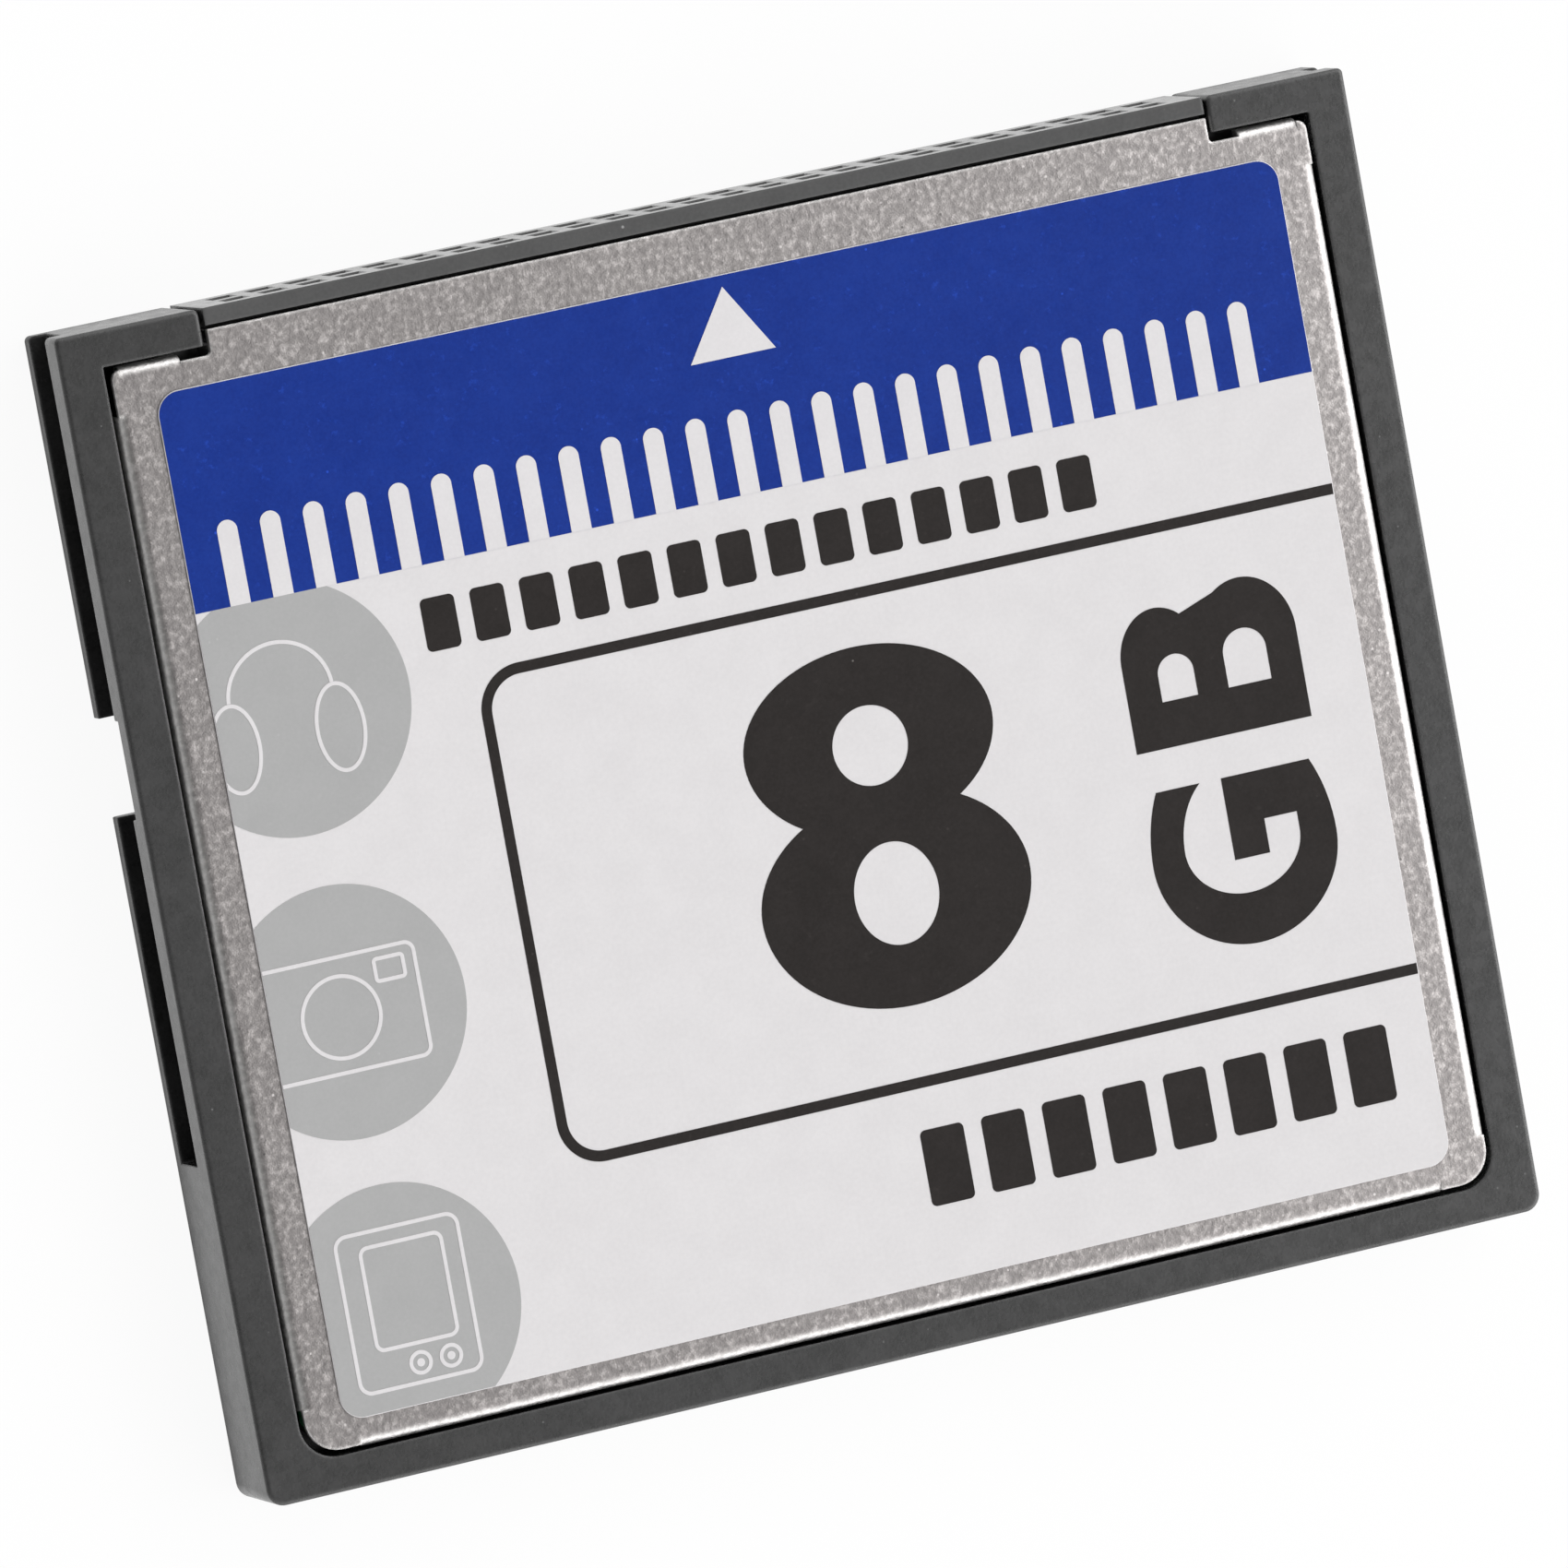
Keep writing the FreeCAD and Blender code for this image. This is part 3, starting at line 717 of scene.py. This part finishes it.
# Headphones on the upper disc, with the left cup cut by the label's edge
LEFT_CUP = {"x": -18.11, "y": 4.81, "rx": 0.76, "ry": 1.345, "start": -140, "end": 140}
RIGHT_CUP = {"x": -14.69, "y": 4.82, "rx": 0.76, "ry": 1.345}
HEADBAND = {"x": -16.41, "y": 6.17, "rx": 1.68, "ry": 1.61, "start": 2, "end": 178}
overprinted("sound_left_cup", [clipped(band(oval(**LEFT_CUP), LINE), sheet)])
overprinted("sound_right_cup", ring(oval(**RIGHT_CUP), LINE))
overprinted("sound_band", [band(oval(**HEADBAND), LINE)])

# A camera on the middle disc, with its body cut off at the label's edge
BODY_LOW = -5.6
BODY_TOP = -2.06
BODY_CORNER = 0.3
BODY_CORNER_X = -14.0
LENS = {"x": -16.35, "y": -3.9, "rx": 1.26, "ry": 1.26}
FINDER = {"left": -15.03, "low": -3.07, "right": -14.09, "high": -2.38, "radius": 0.10}
body = ([(PRINT_LEFT, BODY_LOW)]
        + oval(BODY_CORNER_X, BODY_LOW + BODY_CORNER, BODY_CORNER, BODY_CORNER, 270, 360)
        + oval(BODY_CORNER_X, BODY_TOP - BODY_CORNER, BODY_CORNER, BODY_CORNER, 0, 90)
        + [(PRINT_LEFT, BODY_TOP)])
overprinted("picture_body", [band(body, LINE)])
overprinted("picture_lens", ring(oval(**LENS), LINE))
overprinted("picture_finder", ring(round_box(**FINDER), LINE))

# A music player on the lower disc
PLAYER = {"left": -17.9, "low": -15.42, "right": -13.9, "high": -10.52, "radius": 0.38}
SCREEN = {"left": -17.15, "low": -14.2, "right": -14.5, "high": -11.0, "radius": 0.25}
BUTTON_PLACES = (-15.85, -14.85)
BUTTON_Y = -14.82
BUTTON_RADIUS = 0.32
DOT_RADIUS = 0.13
overprinted("player_body", ring(round_box(**PLAYER), LINE))
overprinted("player_screen", ring(round_box(**SCREEN), LINE))
for i, x in enumerate(BUTTON_PLACES):
    overprinted(f"player_button_{i + 1}", ring(oval(x, BUTTON_Y, BUTTON_RADIUS, BUTTON_RADIUS), LINE))
    overprinted(f"player_button_dot_{i + 1}", [oval(x, BUTTON_Y, DOT_RADIUS, DOT_RADIUS)])

# The floor is just below the card, so that no two faces share a plane
FLOOR_HALF = 3000.0
FLOOR_DROP = 0.02
FLOOR_LIFT = 0.93


def make_floor():
    """Pale floor: lifted towards white with its shadow kept where it is seen, plain white in mirrors."""
    made = Finish("pale_floor")
    made.drive("Base Color", made.ramp(made.noise(per_mm=0.01, detail=2.0), (0.3, 0.93), (0.7, 0.95)))
    made.set(Roughness=0.85, Specular_IOR_Level=0.1)
    ray = made.node("ShaderNodeLightPath")
    lifted = made.calc("MULTIPLY", ray.outputs["Is Camera Ray"], FLOOR_LIFT)
    mirrored = made.calc("MAXIMUM", ray.outputs["Is Glossy Ray"], ray.outputs["Is Transmission Ray"])
    white = made.node("ShaderNodeEmission")
    white.inputs["Strength"].default_value = 1.0
    shown = made.node("ShaderNodeMixShader")
    made.join(made.calc("MAXIMUM", lifted, mirrored), shown.inputs["Fac"])
    made.join(made.bsdf.outputs["BSDF"], shown.inputs[1])
    made.join(white.outputs["Emission"], shown.inputs[2])
    made.join(shown.outputs["Shader"], made.out.inputs["Surface"])
    mesh = bpy.data.meshes.new("floor")
    half = FLOOR_HALF * MM
    corners = [(x * half, y * half, -FLOOR_DROP * MM) for x, y in ((-1, -1), (1, -1), (1, 1), (-1, 1))]
    mesh.from_pydata(corners, [], [(0, 1, 2, 3)])
    mesh.materials.append(made.material)
    floor = placed("floor", mesh)


# Levels of the sky by how near it is to its dullest place, and its share of the ring's level at the horizon
DULL_TOWARDS = Vector((-0.45, 0.1, 0.89)).normalized()
SKY_LEVELS = ((0.10, 1.0), (0.30, 0.84), (0.52, 0.36), (0.68, 0.18), (0.86, 0.07), (1.0, 0.05))
RING_LEVEL = 3.2
HORIZON_TOP = 0.45
HORIZON_SHARE = 0.25


def make_surroundings():
    """A bright ring on the right, the rear and the front, duller overhead on the left and at the horizon."""
    world = bpy.data.worlds.new("surroundings")
    bpy.context.scene.world = world
    world.use_nodes = True
    sky = Graph(world.node_tree)
    towards = sky.node("ShaderNodeTexCoord").outputs["Generated"]
    horizon = sky.node("ShaderNodeMapRange")
    horizon.inputs["From Max"].default_value = HORIZON_TOP
    horizon.inputs["To Min"].default_value = RING_LEVEL * HORIZON_SHARE
    horizon.inputs["To Max"].default_value = RING_LEVEL
    sky.join(sky.upward(towards), horizon.inputs["Value"])
    glow = sky.node("ShaderNodeBackground")
    sky.join(sky.ramp(sky.along(towards, DULL_TOWARDS), *SKY_LEVELS), glow.inputs["Color"])
    sky.join(horizon.outputs["Result"], glow.inputs["Strength"])
    shown = sky.node("ShaderNodeOutputWorld")
    sky.join(glow.outputs["Background"], shown.inputs["Surface"])


# A panel above the right side
PANEL_WIDTH = 140.0
PANEL_LENGTH = 260.0
PANEL_PLACE = (145.0, -10.0, 80.0)
PANEL_WATTS = 0.34


def make_panel():
    """A panel that only gleams on the card and doesn't light it."""
    lamp = bpy.data.lights.new("gleam_panel", "AREA")
    lamp.shape = "RECTANGLE"
    lamp.size = PANEL_WIDTH * MM
    lamp.size_y = PANEL_LENGTH * MM
    lamp.energy = PANEL_WATTS
    panel = placed("gleam_panel", lamp)
    panel.location = Vector(PANEL_PLACE) * MM
    panel.visible_diffuse = False
    panel.visible_camera = False


# The camera stands where the photograph was taken from
CAMERA_AZIMUTH = -109.694
CAMERA_ELEVATION = 69.496
CAMERA_ROLL = 98.295
CAMERA_DISTANCE = 523.489
CAMERA_AIM = (-0.941, 0.129, 3.3)
SENSOR = 36.0
FOCAL_PIXELS = 18449.83
IMAGE_PIXELS = 1700
NEAREST = 10.0
FARTHEST = 20000.0


def make_camera():
    """A long lens that looks at the card from the given angles and is turned about its line of sight."""
    azimuth = math.radians(CAMERA_AZIMUTH)
    elevation = math.radians(CAMERA_ELEVATION)
    roll = math.radians(CAMERA_ROLL)
    back = Vector((math.sin(azimuth) * math.cos(elevation), -math.cos(azimuth) * math.cos(elevation),
                   math.sin(elevation)))
    sideways = Vector((math.cos(azimuth), math.sin(azimuth), 0))
    upright = back.cross(sideways)
    right = math.cos(roll) * sideways + math.sin(roll) * upright
    up = math.cos(roll) * upright - math.sin(roll) * sideways
    stand = (Vector(CAMERA_AIM) + back * CAMERA_DISTANCE) * MM
    view = bpy.data.cameras.new("camera")
    view.sensor_width = SENSOR
    view.lens = SENSOR * FOCAL_PIXELS / IMAGE_PIXELS
    view.clip_start = NEAREST * MM
    view.clip_end = FARTHEST * MM
    camera = placed("camera", view)
    camera.matrix_world = Matrix(((right.x, up.x, back.x, stand.x),
                                  (right.y, up.y, back.y, stand.y),
                                  (right.z, up.z, back.z, stand.z),
                                  (0, 0, 0, 1)))
    bpy.context.scene.camera = camera


make_floor()
make_surroundings()
make_panel()
make_camera()
bpy.context.scene.view_settings.view_transform = "Standard"

bpy.context.view_layer.update()
